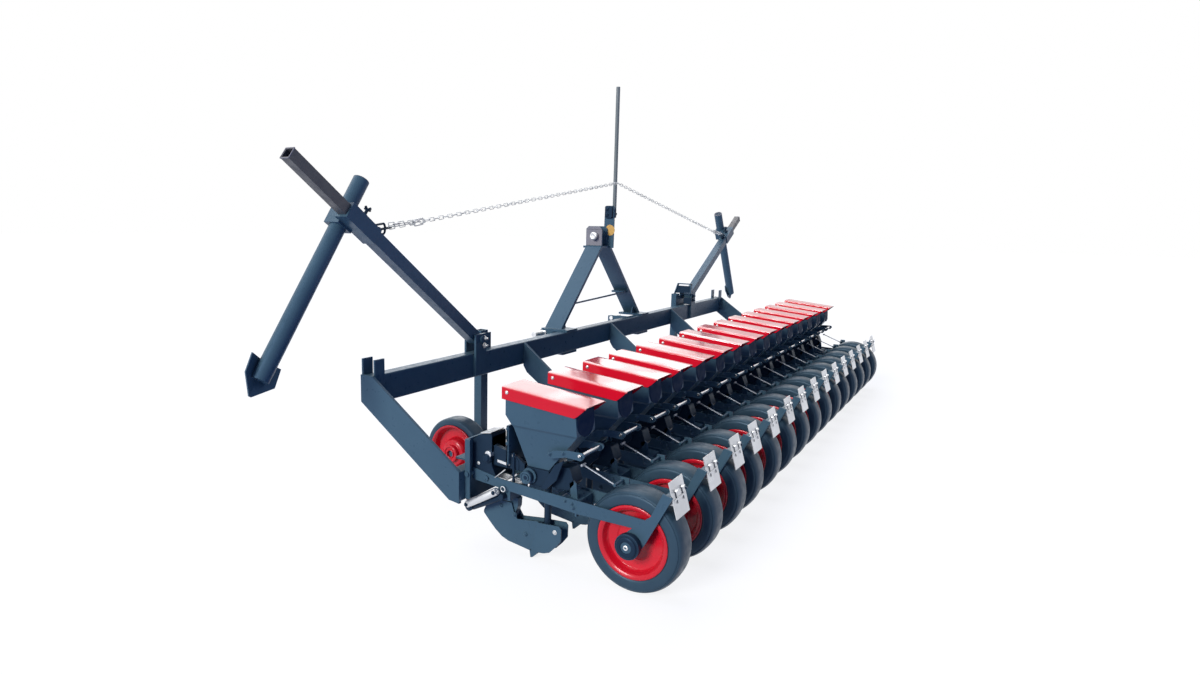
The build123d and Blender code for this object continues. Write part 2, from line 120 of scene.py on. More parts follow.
def seen_direct(add):
    """1 for rays from the camera, from a mirror-like surface or through glass, else 0."""
    path = add("LightPath")
    either = add("Math", {0: path.outputs["Is Camera Ray"], 1: path.outputs["Is Glossy Ray"]}, operation="MAXIMUM")
    return add("Math", {0: either.outputs[0], 1: path.outputs["Is Transmission Ray"]}, operation="MAXIMUM").outputs[0]


world = bpy.data.worlds.new("surround")
scene.world = world
add = node_tree(world)
soft = add("Background", {"Color": (0.25, 0.41, 1.0, 1.0), "Strength": 0.40})
white = add("Background", {"Color": (1.0, 1.0, 1.0, 1.0), "Strength": 1.0})
both = add("MixShader", {0: seen_direct(add), 1: soft.outputs[0], 2: white.outputs[0]})
add("OutputWorld", {0: both.outputs[0]})

floor_mesh = bpy.data.meshes.new("floor")
half_floor = 40.0
floor_corners = [(a * half_floor, b * half_floor, 0) for a, b in ((-1, -1), (1, -1), (1, 1), (-1, 1))]
floor_mesh.from_pydata(floor_corners, [], [(0, 1, 2, 3)])
floor = bpy.data.objects.new("floor", floor_mesh)
scene.collection.objects.link(floor)
floor_paint = bpy.data.materials.new("floor_white")
add = node_tree(floor_paint)
dull = add("BsdfDiffuse", {"Color": (0.26, 0.36, 0.62, 1.0)})
lit = add("BsdfDiffuse", {"Color": (0.20, 0.20, 0.20, 1.0)})
glow = add("Emission", {"Color": (1.0, 1.0, 1.0, 1.0), "Strength": 0.84})
bright = add("AddShader", {0: lit.outputs[0], 1: glow.outputs[0]})
both = add("MixShader", {0: seen_direct(add), 1: dull.outputs[0], 2: bright.outputs[0]})
add("OutputMaterial", {0: both.outputs[0]})
floor.data.materials.append(floor_paint)

# ---------------------------------------------------------------- toolbars and frame plates
# Two rectangular steel tubes joined by diagonal plates, welded and painted in a dark slate blue.
# The paint is glossy, with a fine orange peel and edges that catch the light.


lid_slope = 0.0943
crown_start, crown_whole = 0.5968, 0.6000


def coated(name, colour, shade, roughness, gloss, edge=0.0015, peel=0.25, metallic=0.0, coat=0.0,
           sheen=(1.0, 1.0, 1.0), crown=None):
    """Sprayed or plated metal: the colour drifts towards `shade` in slow clouds, the roughness in
    finer ones, a fine noise gives the orange peel, and corners are rounded over `edge` metres.
    `sheen` tints the mirror light. `crown` is the index of a coat that lies on a lid's top only: it
    starts and is whole at two heights over a plane of the lid's slope."""
    material = bpy.data.materials.new(name)
    add = node_tree(material)
    place = add("TexCoord").outputs["Object"]
    clouds = add("TexNoise", {"Vector": place, "Scale": 5.0, "Detail": 4.0, "Roughness": 0.6})
    cloud_range = add("MapRange", {0: clouds.outputs[0], 1: 0.38, 2: 0.66, 3: 0.0, 4: 1.0})
    hue = add("Mix", {0: cloud_range.outputs[0], 6: (*colour, 1.0), 7: (*shade, 1.0)}, data_type="RGBA")
    fine = add("TexNoise", {"Vector": place, "Scale": 42.0, "Detail": 3.0})
    rough = add("MapRange", {0: fine.outputs[0], 1: 0.3, 2: 0.7, 3: roughness * 0.75, 4: roughness * 1.3})
    skin = add("TexNoise", {"Vector": place, "Scale": 420.0, "Detail": 2.0})
    corner = add("Bevel", {"Radius": edge}, samples=4)
    bump = add("Bump", {"Strength": peel, "Distance": 0.0004, "Height": skin.outputs[0], "Normal": corner.outputs[0]})
    shader = add("BsdfPrincipled", {"Base Color": hue.outputs[2], "Roughness": rough.outputs[0], "Metallic": metallic,
                                    "Specular IOR Level": gloss, "Coat Weight": coat, "Coat Roughness": 0.10,
                                    "Specular Tint": (*sheen, 1.0), "Normal": bump.outputs[0]})
    if crown:
        height = add("VectorMath", {0: place, 1: (0.0, -lid_slope, 1.0)}, operation="DOT_PRODUCT").outputs["Value"]
        broad = add("TexNoise", {"Vector": place, "Scale": 4.5, "Detail": 1.0})
        wash = add("MapRange", {0: broad.outputs[0], 1: 0.40, 2: 0.60, 3: coat * 0.45, 4: coat})
        flat = add("MapRange", {0: height, 1: crown_start, 2: crown_whole, 3: 0.0, 4: wash.outputs[0]})
        shader.id_data.links.new(flat.outputs[0], shader.inputs["Coat Weight"])
        shader.inputs["Coat IOR"].default_value = crown
    add("OutputMaterial", {0: shader.outputs[0]})
    return material


slate_paint = coated("slate_paint", (0.044, 0.084, 0.108), (0.050, 0.094, 0.118), 0.34, 0.30, sheen=(0.35, 0.55, 1.0))
red_paint = coated("red_paint", (0.58, 0.006, 0.018), (0.52, 0.008, 0.018), 0.24, 0.30, coat=0.10)
lid_red = coated("lid_red", (0.62, 0.006, 0.020), (0.58, 0.008, 0.020), 0.16, 0.20, peel=0.10, coat=1.0, crown=3.6)
black_paint = coated("black_paint", (0.010, 0.020, 0.034), (0.014, 0.026, 0.042), 0.42, 0.22, sheen=(0.3, 0.6, 1.0))
zinc = coated("zinc", (0.70, 0.71, 0.72), (0.58, 0.59, 0.60), 0.34, 0.5, metallic=0.85)
rubber = coated("rubber", (0.020, 0.042, 0.060), (0.026, 0.052, 0.072), 0.40, 0.36, sheen=(0.6, 0.8, 1.0))
chrome = coated("chrome", (0.78, 0.78, 0.80), (0.70, 0.70, 0.72), 0.16, 0.5, metallic=1.0)
clear = coated("clear", (0.010, 0.022, 0.048), (0.014, 0.028, 0.056), 0.55, 0.04, sheen=(0.25, 0.5, 1.0))
finish_of = {"blue_paint": slate_paint, "red_paint": red_paint, "black_paint": black_paint, "zinc_plate": zinc,
             "smooth_tyre": rubber, "black_plastic": black_paint, "chrome_rod": chrome, "clear_plastic": clear}
for part in frame["record"]["subparts"]:
    mesh = nodes[part["node"]].data
    mesh.materials.clear()
    mesh.materials.append(finish_of[part["material_slot"]])

middle_x = -0.038
row_pitch = 0.25
first_rows = (-1.770, -1.486, -1.231, -1.012)
row_x = [middle_x + x for x in first_rows] + [middle_x + row_pitch * (k - 7) for k in range(4, 15)]

# ---------------------------------------------------------------- press wheels
# Smooth rubber tyres on dished steel rims painted red, each with a hub that turns on the axle
# of its fork. The tyre is seated between the two lips of the rim.


def join_shells(*shells):
    """Put shells, each a vertex array and a list of faces, into one."""
    points, faces, base = [], [], 0
    for verts, polys in shells:
        points.append(np.asarray(verts, float))
        faces += [tuple(int(i) + base for i in poly) for poly in polys]
        base += len(verts)
    return np.vstack(points), faces


def grid_faces(rows, columns, wrap_rows=False, wrap_columns=False):
    """Quads of a rows x columns grid of vertices, closed round either way if asked."""
    r = np.arange(rows if wrap_rows else rows - 1)
    c = np.arange(columns if wrap_columns else columns - 1)
    r0, c0 = (a.ravel() for a in np.meshgrid(r, c, indexing="ij"))
    r1, c1 = (r0 + 1) % rows, (c0 + 1) % columns
    return np.stack([r0 * columns + c0, r0 * columns + c1, r1 * columns + c1, r1 * columns + c0], 1).tolist()


def lathe(profile, centre, axis=(1, 0, 0), steps=64):
    """A closed ring of revolution: point (radius, height) of the closed profile goes to
    centre + height * axis + radius * (cos t, sin t) in the plane square to the axis."""
    profile = np.asarray(profile, float)
    axis = Vector(axis).normalized()
    side = axis.orthogonal().normalized()
    other = axis.cross(side)
    t = np.arange(steps) * 2 * math.pi / steps
    spin = np.cos(t)[:, None] * np.array(side) + np.sin(t)[:, None] * np.array(other)
    radius, height = np.maximum(profile[:, 0], 0.0), profile[:, 1]
    points = np.array(centre) + height[None, :, None] * np.array(axis) + radius[None, :, None] * spin[:, None, :]
    return points.reshape(-1, 3), grid_faces(steps, len(profile), True, True)


def rounded(corners, radius=0.002, steps=3):
    """A closed outline with each corner replaced by a short arc-like curve of `steps` + 1 points."""
    corners = np.asarray(corners, float)
    before, after = np.roll(corners, 1, 0) - corners, np.roll(corners, -1, 0) - corners
    long_b, long_a = np.linalg.norm(before, axis=1), np.linalg.norm(after, axis=1)
    cut = np.minimum(np.minimum(radius, long_b * 0.45), long_a * 0.45)
    start, end = corners + before * (cut / long_b)[:, None], corners + after * (cut / long_a)[:, None]
    u = np.linspace(0.0, 1.0, steps + 1)[None, :, None]
    bend = (1 - u) ** 2 * start[:, None] + 2 * u * (1 - u) * corners[:, None] + u ** 2 * end[:, None]
    return bend.reshape(-1, corners.shape[1])


def copies(shell, places):
    """The shell repeated at each place, an offset in metres."""
    verts, faces = shell
    return join_shells(*[(np.asarray(verts) + np.array(place), faces) for place in places])


def piece(name, parts, body="machine", instead_of=(), sharp=35.0):
    """One object from (shell, material) pairs. Doubles are merged, normals turned outwards,
    and edges sharper than `sharp` degrees stay crisp."""
    verts, faces = join_shells(*[shell for shell, _ in parts])
    slot_of = [slot for slot, (shell, _) in enumerate(parts) for _ in shell[1]]
    mesh = bpy.data.meshes.new(name)
    mesh.from_pydata(verts.tolist(), [], faces)
    for _, material in parts:
        mesh.materials.append(material)
    mesh.polygons.foreach_set("material_index", slot_of)
    shape = bmesh.new()
    shape.from_mesh(mesh)
    bmesh.ops.remove_doubles(shape, verts=shape.verts, dist=1e-6)
    bmesh.ops.dissolve_degenerate(shape, edges=shape.edges, dist=1e-6)
    bmesh.ops.recalc_face_normals(shape, faces=shape.faces)
    shape.to_mesh(mesh)
    shape.free()
    mesh.polygons.foreach_set("use_smooth", [True] * len(mesh.polygons))
    mesh.set_sharp_from_angle(angle=math.radians(sharp))
    thing = bpy.data.objects.new(name, mesh)
    scene.collection.objects.link(thing)
    if body:
        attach(thing, body)
    if instead_of:
        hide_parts(*instead_of)
    return thing


wheel_at = (-0.550, 0.165)
tyre_half = [(0.1175, -0.044), (0.124, -0.0475), (0.146, -0.0485), (0.1518, -0.0470), (0.1526, -0.0442),
             (0.1540, -0.0440), (0.1548, -0.0452), (0.1590, -0.0415), (0.1640, -0.028), (0.165, -0.008)]
tyre_profile = rounded(tyre_half + [(r, -w) for r, w in reversed(tyre_half)], 0.006, 2)
rim_profile = rounded([(0.0085, -0.047), (0.017, -0.047), (0.019, -0.044), (0.026, -0.042), (0.027, -0.016),
                       (0.060, -0.015), (0.064, -0.018), (0.092, -0.022), (0.097, -0.030), (0.103, -0.0445),
                       (0.113, -0.0485), (0.1185, -0.0470), (0.1185, -0.044), (0.109, -0.040), (0.106, -0.0),
                       (0.109, 0.040), (0.1185, 0.044), (0.1185, 0.0470), (0.113, 0.0485), (0.103, 0.0445),
                       (0.097, 0.030), (0.092, -0.012), (0.064, -0.008), (0.060, -0.005), (0.027, -0.006),
                       (0.026, 0.042), (0.019, 0.047), (0.0085, 0.047)], 0.0018, 2)
for k, x in enumerate(row_x, 1):
    hub = (x, *wheel_at)
    rng.uniform(0.0, 6.28)  # unused; it moves the generator on to where the chain links start
    piece(f"wheel_{k}", [(lathe(tyre_profile, hub, steps=96), rubber), (lathe(rim_profile, hub, steps=72), red_paint)],
          f"press_wheel_{k}_body", [f"press_wheel_{k}"], 50.0)

# ---------------------------------------------------------------- drive wheels
# Two wheels with a thin rubber band that run beside the frame and drive the seed shaft. The red
# dish is deep, and its big stepped hub stands out past the tyre.
band_profile = rounded([(0.118, -0.039), (0.128, -0.0405), (0.141, -0.039), (0.1475, -0.028), (0.148, 0.0),
                        (0.1475, 0.028), (0.141, 0.039), (0.128, 0.0405), (0.118, 0.039)], 0.006, 3)
dish_profile = rounded([(0.0152, -0.044), (0.038, -0.044), (0.039, -0.009), (0.104, -0.008), (0.108, -0.036),
                        (0.1185, -0.040), (0.1185, -0.037), (0.112, -0.034), (0.112, 0.036), (0.1195, 0.038),
                        (0.1195, 0.043), (0.116, 0.0455), (0.111, 0.043), (0.104, 0.032), (0.099, 0.007),
                        (0.080, 0.003), (0.064, 0.003), (0.061, 0.006), (0.059, 0.030), (0.053, 0.040),
                        (0.045, 0.043), (0.038, 0.043), (0.0365, 0.058), (0.033, 0.0615), (0.028, 0.0615),
                        (0.0265, 0.056), (0.020, 0.056), (0.0185, 0.0615), (0.0152, 0.0615)], 0.0022, 3)
for side, x in (("left", -1.366), ("right", 1.366)):
    hub = (middle_x + x, 0.493, 0.148)
    out = (math.copysign(1.0, x), 0.0, 0.0)
    piece(f"ground_wheel_{side}", [(lathe(band_profile, hub, out, 112), rubber),
                                   (lathe(dish_profile, hub, out, 80), red_paint)],
          f"drive_wheel_{side}_body", [f"drive_wheel_{side}"], 50.0)

# ---------------------------------------------------------------- hopper lids
# Folded steel sheet, glossy red. The sides fold down over the hopper, the rear edge stands out
# as a lip, and a bright pin head on each side is the hinge.


def sheet(surface, thickness):
    """A closed sheet: the surface grid is offset by half the thickness along its own normal to
    both sides, and the rims are stitched."""
    surface = np.asarray(surface, float)
    du, dv = np.gradient(surface, axis=0), np.gradient(surface, axis=1)
    normal = np.cross(du, dv)
    normal /= np.maximum(np.linalg.norm(normal, axis=2, keepdims=True), 1e-12)
    n, m = surface.shape[:2]
    layers = np.stack([surface + normal * thickness / 2, surface - normal * thickness / 2])
    face = np.array(grid_faces(n, m))
    ring = np.concatenate([np.arange(m), np.arange(1, n) * m + m - 1, (n - 1) * m + np.arange(m - 2, -1, -1),
                           np.arange(n - 2, 0, -1) * m])
    step = np.roll(ring, -1)
    rim = np.stack([ring, step, step + n * m, ring + n * m], 1)
    return layers.reshape(-1, 3), face.tolist() + (face + n * m)[:, ::-1].tolist() + rim.tolist()


def lid_sheet(x):
    """The lid: across, a fold of 6 mm radius at each side; along, the top falls from front to
    rear, and each side's lower edge runs level with it and rises at the end to form the lip."""
    half, level_half, fold = 0.065, 0.059, 0.006
    bend = np.linspace(0.0, math.pi / 2, 6)
    flat = np.linspace(-level_half, level_half, 7)[1:-1]
    drop = np.array([1.0, 0.66, 0.33])
    across = np.concatenate([[-half] * 3, -level_half - fold * np.cos(bend), flat,
                             level_half + fold * np.sin(bend), [half] * 3])
    down = np.concatenate([drop, np.zeros(len(across) - 6), drop[::-1]])
    dip = np.concatenate([[fold] * 3, fold * (1 - np.sin(bend)), flat * 0, fold * (1 - np.cos(bend)), [fold] * 3])
    along = np.linspace(0.0, 1.0, 25)
    y = -0.070 - 0.318 * along
    top = 0.5952 - 0.030 * along
    low = np.where(along < 0.88, 0.552 - 0.0272 * along, 0.5281 + (along - 0.88) / 0.12 * 0.034)
    z = (top[:, None] - dip[None, :]) * (1 - down[None, :]) + low[:, None] * down[None, :]
    return np.stack([x + np.broadcast_to(across, z.shape), np.broadcast_to(y[:, None], z.shape), z], 2)


hinge_profile = rounded([(0.0, 0.0), (0.0065, 0.0), (0.0065, 0.0025), (0.003, 0.0045), (0.0, 0.0048)], 0.001, 2)
for k, x in enumerate(row_x, 1):
    heads = [lathe(hinge_profile, (x + s * 0.066, -0.091, 0.576), (s, 0, 0), 16) for s in (-1, 1)]
    piece(f"lid_cover_{k}", [(sheet(lid_sheet(x), 0.002), lid_red), (join_shells(*heads), zinc)],
          f"lid_{k}_body", [f"lid_{k}"], 40.0)

# ---------------------------------------------------------------- spring housings
# A zinc-plated tube on the left of each row unit with a bolt through each end, an eye plate at
# its rear end, and below it the black tube of the lower link.
drawing_y, drawing_z = -10.0, 10.0


def at(x, y, z):
    """A point of a row unit in metres, from the drawing's millimetres; x counts from the row's middle."""
    return (x / 1000.0, (y + drawing_y) / 1000.0, (z + drawing_z) / 1000.0)


def bar(a, b, radius, steps=16, soft=0.0008):
    """A round bar between two points with slightly rounded rims."""
    a, b = Vector(a), Vector(b)
    length = (b - a).length
    profile = rounded([(0.0, 0.0), (radius, 0.0), (radius, length), (0.0, length)], soft, 2)
    return lathe(profile, a, b - a, steps)


def prism_faces(n):
    """The sides and the two ends between two rings of n points."""
    i = np.arange(n)
    j = (i + 1) % n
    return np.stack([i, j, j + n, i + n], 1).tolist() + [list(range(n))[::-1], list(range(n, 2 * n))]


def slab(outline, x0, x1, soft=0.0):
    """A flat plate: a closed outline in Y and Z (drawing millimetres) between two X positions."""
    outline = np.asarray(outline, float)
    if soft:
        outline = rounded(outline, soft, 3)
    ends = [np.array([at(x, y, z) for y, z in outline]) for x in (x0, x1)]
    return np.vstack(ends), prism_faces(len(outline))


def bolt(where, axis, radius=0.006, height=0.004, shank=0.003):
    """A hexagon head on a washer with the end of its thread standing out."""
    axis = Vector(axis).normalized()
    where = Vector(where)
    washer = bar(where, where + axis * 0.0012, radius * 1.35, 16, 0.0003)
    head_profile = rounded([(0.0, 0.001), (radius, 0.001), (radius, height), (radius * 0.8, height + 0.0008),
                            (0.0, height + 0.0008)], 0.0003, 1)
    thread = bar(where + axis * height, where + axis * (height + shank), radius * 0.5, 10, 0.0005)
    return join_shells(washer, lathe(head_profile, where, axis, 6), thread)


every_row = [(x, 0.0, 0.0) for x in row_x]
tube = join_shells(bar(at(-82, 71, 153), at(-82, -56, 227), 0.0135, 20, 0.003),
                   *[bar(at(-96, y, z), at(-68, y, z), 0.0045, 12) for y, z in ((66, 156), (-49, 223))])
eye_profile = rounded([(0.007, 0.0), (0.0105, 0.0), (0.0105, 0.004), (0.007, 0.004)], 0.0006, 2)
eye = lathe(eye_profile, at(-70, -70, 233), (1, 0, 0), 20)
link_tube = join_shells(bar(at(-60, 62, 140), at(-60, -53, 199), 0.0125, 18, 0.002),
                        bar(at(-78, 68, 142), at(-50, 68, 142), 0.015, 18),
                        bar(at(-78, -67, 206), at(-54, -67, 206), 0.011, 16))
studs = join_shells(*[bolt(at(-95, y, z), (-1, 0, 0), 0.0055) for y, z in ((66, 156), (-49, 223))])
piece("spring_tubes", [(copies(join_shells(tube, eye), every_row), zinc),
                       (copies(join_shells(link_tube, studs), every_row), black_paint)], instead_of=["springs"])

# ---------------------------------------------------------------- seed metering
# A black drive case on each bracket, the metering hub with its ringed cap, the toothed wheel
# behind it, and the zinc-plated setting levers and shelf plates beside it.
case_outline = [(66, 268), (66, 380), (34, 402), (-10, 410), (-14, 402), (-14, 300), (-30, 268)]
case = join_shells(slab(case_outline, -56, 26, 3.0),
                   slab([(20, 306), (20, 350), (-20, 372), (-100, 352), (-118, 330), (-118, 300)], -46, -34, 4.0))
cap_profile = [(0.0, 0.0), (0.017, 0.0), (0.0175, 0.008), (0.013, 0.011), (0.011, 0.016), (0.0, 0.0165)]
cap = lathe(rounded(cap_profile, 0.001, 2), at(-56, 2, 326), (-1, 0, 0), 28)
hub_cap_profile = [(0.0, 0.0), (0.0215, 0.0), (0.0215, 0.006), (0.0200, 0.0085), (0.0170, 0.0085), (0.0155, 0.005),
                   (0.0120, 0.005), (0.0105, 0.0075), (0.0075, 0.0075), (0.006, 0.0035), (0.0, 0.0035)]
hub_cap = lathe(rounded(hub_cap_profile, 0.0008, 2), at(-62, -160, 291), (-1, 0, 0), 40)
tooth_points = np.arange(120)
tooth_r = np.where((tooth_points // 2) % 2 == 0, 27.0, 24.5)
tooth_a = tooth_points * math.pi / 60
toothed = slab(np.stack([-164 + tooth_r * np.cos(tooth_a), 294 + tooth_r * np.sin(tooth_a)], 1), -52, -46)
throat = slab([(-146, 320), (-146, 262), (-236, 262), (-236, 320)], -44, 44, 6.0)
chute = join_shells(slab([(-238, 372), (-262, 372), (-206, 258), (-182, 258)], -36, -30, 2.0),
                    slab([(-262, 350), (-296, 372), (-270, 300), (-232, 262), (-212, 262)], -54, -48, 4.0),
                    slab([(-238, 316), (-262, 340), (-304, 340), (-322, 292), (-300, 264), (-238, 264)], -28, 28, 6.0))
dark_parts = join_shells(case, cap, throat, chute)
slate_parts = join_shells(hub_cap, toothed)
levers = join_shells(slab([(-33, 324), (-82, 318), (-82, 309), (-33, 315)], -50, -40, 1.0),
                     slab([(-38, 263), (-74, 259), (-74, 262), (-38, 266)], -54, -10),
                     slab([(-86, 256), (-124, 253), (-124, 256), (-86, 259)], -54, -20),
                     slab([(-94, 276), (-112, 290), (-114, 286), (-97, 272)], -50, -34),
                     slab([(34, 405), (-10, 413), (-10, 416), (34, 408)], -56, 20),
                     bar(at(-46, -98, 345), at(-46, -98, 353), 0.0065, 14),
                     bar(at(-56, 40, 300), at(-60, 40, 300), 0.006, 12),
                     bar(at(-60, -30, 262), at(-60, -74, 300), 0.002, 8))
lever_stem = bar(at(-46, -98, 268), at(-46, -98, 346), 0.0045, 12)
piece("meters", [(copies(dark_parts, every_row), black_paint), (copies(slate_parts, every_row), slate_paint),
                 (copies(levers, every_row), zinc), (copies(lever_stem, every_row), rubber)])

# ---------------------------------------------------------------- hopper handles
# Two flat levers bolted to the hopper's tapered sides carry a cross bar with a bright grip.
lever = [(-232, 380), (-262, 402), (-318, 412), (-372, 412), (-379, 402), (-367, 386), (-311, 388), (-250, 372)]
arms = join_shells(slab(lever, -66, -62, 5.0), slab(lever, 62, 66, 5.0),
                   bar(at(-72, -366, 400), at(72, -366, 400), 0.0045, 12),
                   *[bolt(at(s * 66, y, z), (s, 0, 0), 0.006) for s in (-1, 1) for y, z in ((-250, 388), (-300, 400))])
grip = join_shells(bar(at(-58, -364, 405), at(58, -364, 405), 0.0050, 16, 0.002),
                   bar(at(-72, -362, 403), at(-60, -362, 403), 0.0055, 12, 0.001))
piece("grips", [(copies(arms, every_row), slate_paint), (copies(grip, every_row), chrome)], instead_of=["handles"])

# ---------------------------------------------------------------- depth rods
# A thin plated rod runs back from each hopper to the press fork, which it sets for depth.
steel = coated("drawn_steel", (0.30, 0.32, 0.35), (0.22, 0.24, 0.27), 0.38, 0.4, metallic=0.6)
depth = join_shells(bar(at(0, -340, 351), at(0, -458, 306), 0.0028, 12, 0.001),
                    bar(at(-13, -338, 352), at(13, -338, 352), 0.0045, 12, 0.001))
piece("depth_setters", [(copies(depth, every_row), steel)], instead_of=["depth_rods"])

# ---------------------------------------------------------------- hopper fronts
# A sheet apron closes the space under each hopper's front, and two studs hold it.
apron = join_shells(slab([(-76, 452), (-84, 452), (-84, 318), (-76, 318)], -58, 58, 1.0),
                    *[bolt(at(-58, -80, z), (-1, 0, 0), 0.005) for z in (440, 390)])
piece("aprons", [(copies(apron, every_row), slate_paint)])

# ---------------------------------------------------------------- wheel hubs and scrapers
# Black two-step caps close the fork ends with a bright nut in the middle. Behind each tyre a
# zinc-plated scraper is held by two wing nuts in its slots.
axle = at(0, -540, 155)
fork_cap_profile = rounded([(0.0, 0.064), (0.0405, 0.064), (0.0410, 0.081), (0.0385, 0.0850), (0.0345, 0.0850),
                            (0.0335, 0.0895), (0.030, 0.0915), (0.019, 0.0915), (0.017, 0.0870), (0.0, 0.0870)],
                           0.001, 2)
axle_nut_profile = rounded([(0.004, 0.086), (0.0085, 0.086), (0.0085, 0.0905), (0.006, 0.092), (0.004, 0.0915),
                            (0.0035, 0.088)], 0.0006, 2)
fork_cap = join_shells(*[lathe(fork_cap_profile, axle, (s, 0, 0), 40) for s in (-1, 1)])
axle_nut = join_shells(*[lathe(axle_nut_profile, axle, (s, 0, 0), 18) for s in (-1, 1)])
piece("fork_caps", [(copies(fork_cap, every_row), black_paint), (copies(axle_nut, every_row), zinc)])

plate_down = Vector((0.0, -0.034, -0.107)).normalized()
plate_out = Vector((0.0, -0.107, 0.034)).normalized()
plate_top = Vector(at(0, -654, 371.6))
slot_x = (-24, 24)


def on_plate(across, down, out=0.0):
    """A point on the scraper's rear face, `across` and `down` in millimetres from its top middle."""
    return plate_top + Vector((across / 1000.0, 0.0, 0.0)) + plate_down * (down / 1000.0) + plate_out * (out / 1000.0)


def painted_slot_shade(across, down, long, wide=2.6):
    """A raised stadium 0.4 mm thick, drawn black: a painted shade that stands for the slot's dark inside."""
    t = np.linspace(0.0, 2 * math.pi, 17)[:-1]
    u, v = wide * np.cos(t), wide * np.sin(t) + np.where(np.sin(t) >= 0, long / 2, -long / 2)
    rings = [[tuple(on_plate(across + a, down + b, out)) for a, b in zip(u, v)] for out in (-0.2, 0.4)]
    return np.vstack(rings), prism_faces(len(t))


def wing_nut(across, down):
    """A hub with two wings turned a little, on the rear face of the scraper."""
    foot = on_plate(across, down, 0.3)
    hub_profile = rounded([(0.0, 0.0), (0.006, 0.0), (0.0045, 0.006), (0.0025, 0.011), (0.0, 0.011)], 0.0008, 2)
    hub = lathe(hub_profile, foot, plate_out, 14)
    wings = [bar(on_plate(across + s * 2.5, down - s * 0.8, 2.5), on_plate(across + s * 8.5, down - s * 2.0, 9.0),
                 0.0020, 10, 0.001) for s in (-1, 1)]
    return join_shells(hub, *wings)


# The slots are not cut: black stadiums on the plate are painted shade for their dark insides.
slot_shades = join_shells(*[painted_slot_shade(a, 50, 34) for a in slot_x])
wing_nuts = join_shells(*[wing_nut(a, 32) for a in slot_x])
piece("scraper_nuts", [(copies(slot_shades, every_row), black_paint), (copies(wing_nuts, every_row), zinc)])

# ---------------------------------------------------------------- opener bolts
# Hexagon bolts hold the shoe's side plates, the heel box and the arms; the shoe's rear one is bright.
shoe_x, arm_x = -20, -59.5
dull_bolts = join_shells(*[bolt(at(x, y, z), (-1, 0, 0), r) for x, y, z, r in
                           ((shoe_x, -132, 72, 0.007), (shoe_x, -86, 130, 0.007), (shoe_x, -30, 150, 0.006),
                            (arm_x, 96, 257, 0.010), (arm_x, 9, 250, 0.008), (arm_x, -338, 226, 0.006),
                            (arm_x, -308, 242, 0.004), (arm_x, -334, 238, 0.004))])
bright_bolt = bolt(at(-24, -250, 108), (-1, 0, 0), 0.006)
piece("unit_bolts", [(copies(dull_bolts, every_row), slate_paint), (copies(bright_bolt, every_row), zinc)])

# ---------------------------------------------------------------- headstock fittings
# The mast is grey and stands in a black clamp on its plate, with a plain yellow disc below it.
# The top link pin has a stepped head, and the left ear is painted a pale grey-brown. The markers'
# sliding tubes are brown.
in_place = [(middle_x, 0.0, 0.0)]


def site(x, y, z):
    """A point of the whole machine in metres, from the drawing's millimetres; x counts from its middle."""
    return (middle_x + x / 1000.0, (y + drawing_y) / 1000.0, (z + drawing_z) / 1000.0)


def brick(x0, x1, y0, y1, z0, z1, soft=1.0):
    """A block between two corners in drawing millimetres, its long edges along X rounded."""
    return copies(slab([(y0, z0), (y1, z0), (y1, z1), (y0, z1)], x0, x1, soft), in_place)


yellow = coated("yellow_disc", (0.62, 0.36, 0.09), (0.52, 0.30, 0.08), 0.45, 0.3)
taupe = coated("pale_taupe", (0.20, 0.19, 0.20), (0.15, 0.15, 0.165), 0.50, 0.3)
pole_grey = coated("pole_grey", (0.115, 0.135, 0.128), (0.15, 0.17, 0.165), 0.45, 0.4)
nodes["mast"].data.materials[0] = pole_grey
tube_brown = coated("tube_brown", (0.060, 0.060, 0.064), (0.075, 0.072, 0.072), 0.40, 0.5)
for side in ("left", "right"):
    nodes[f"marker_tube_{side}"].data.materials[0] = tube_brown
clamp_black = join_shells(brick(20, 36, 516, 561, 1150, 1216, 8.0), brick(46, 54, 505, 538, 1150, 1200, 4.0),
                          bar(site(54, 519, 1172), site(70, 519, 1172), 0.012, 6),
                          *[bolt(site(20, 546, z), (-1, 0, 0), 0.010, 0.006) for z in (1200, 1168)])
ear = join_shells(brick(-37, -35.6, 546, 647, 992, 1084, 2.0),
                  copies(slab([(546, 1083), (647, 1083), (631, 1100), (561, 1100)], -37, -35.6), in_place))
link_pin_profile = rounded([(0.0, 0.0), (0.021, 0.0), (0.021, 0.006), (0.017, 0.009), (0.0125, 0.009), (0.0115, 0.006),
                            (0.0, 0.006)], 0.001, 2)
pin_head = lathe(link_pin_profile, site(-58, 588, 1046), (-1, 0, 0), 28)
disc_profile = rounded([(0.0, 0.0), (0.031, 0.0), (0.031, 0.0012), (0.0, 0.0012)], 0.0004, 1)
disc = lathe(disc_profile, site(35.8, 533, 1079), (-1, 0, 0), 40)
piece("mast_clamp", [(clamp_black, black_paint), (ear, taupe), (pin_head, zinc), (disc, yellow)])
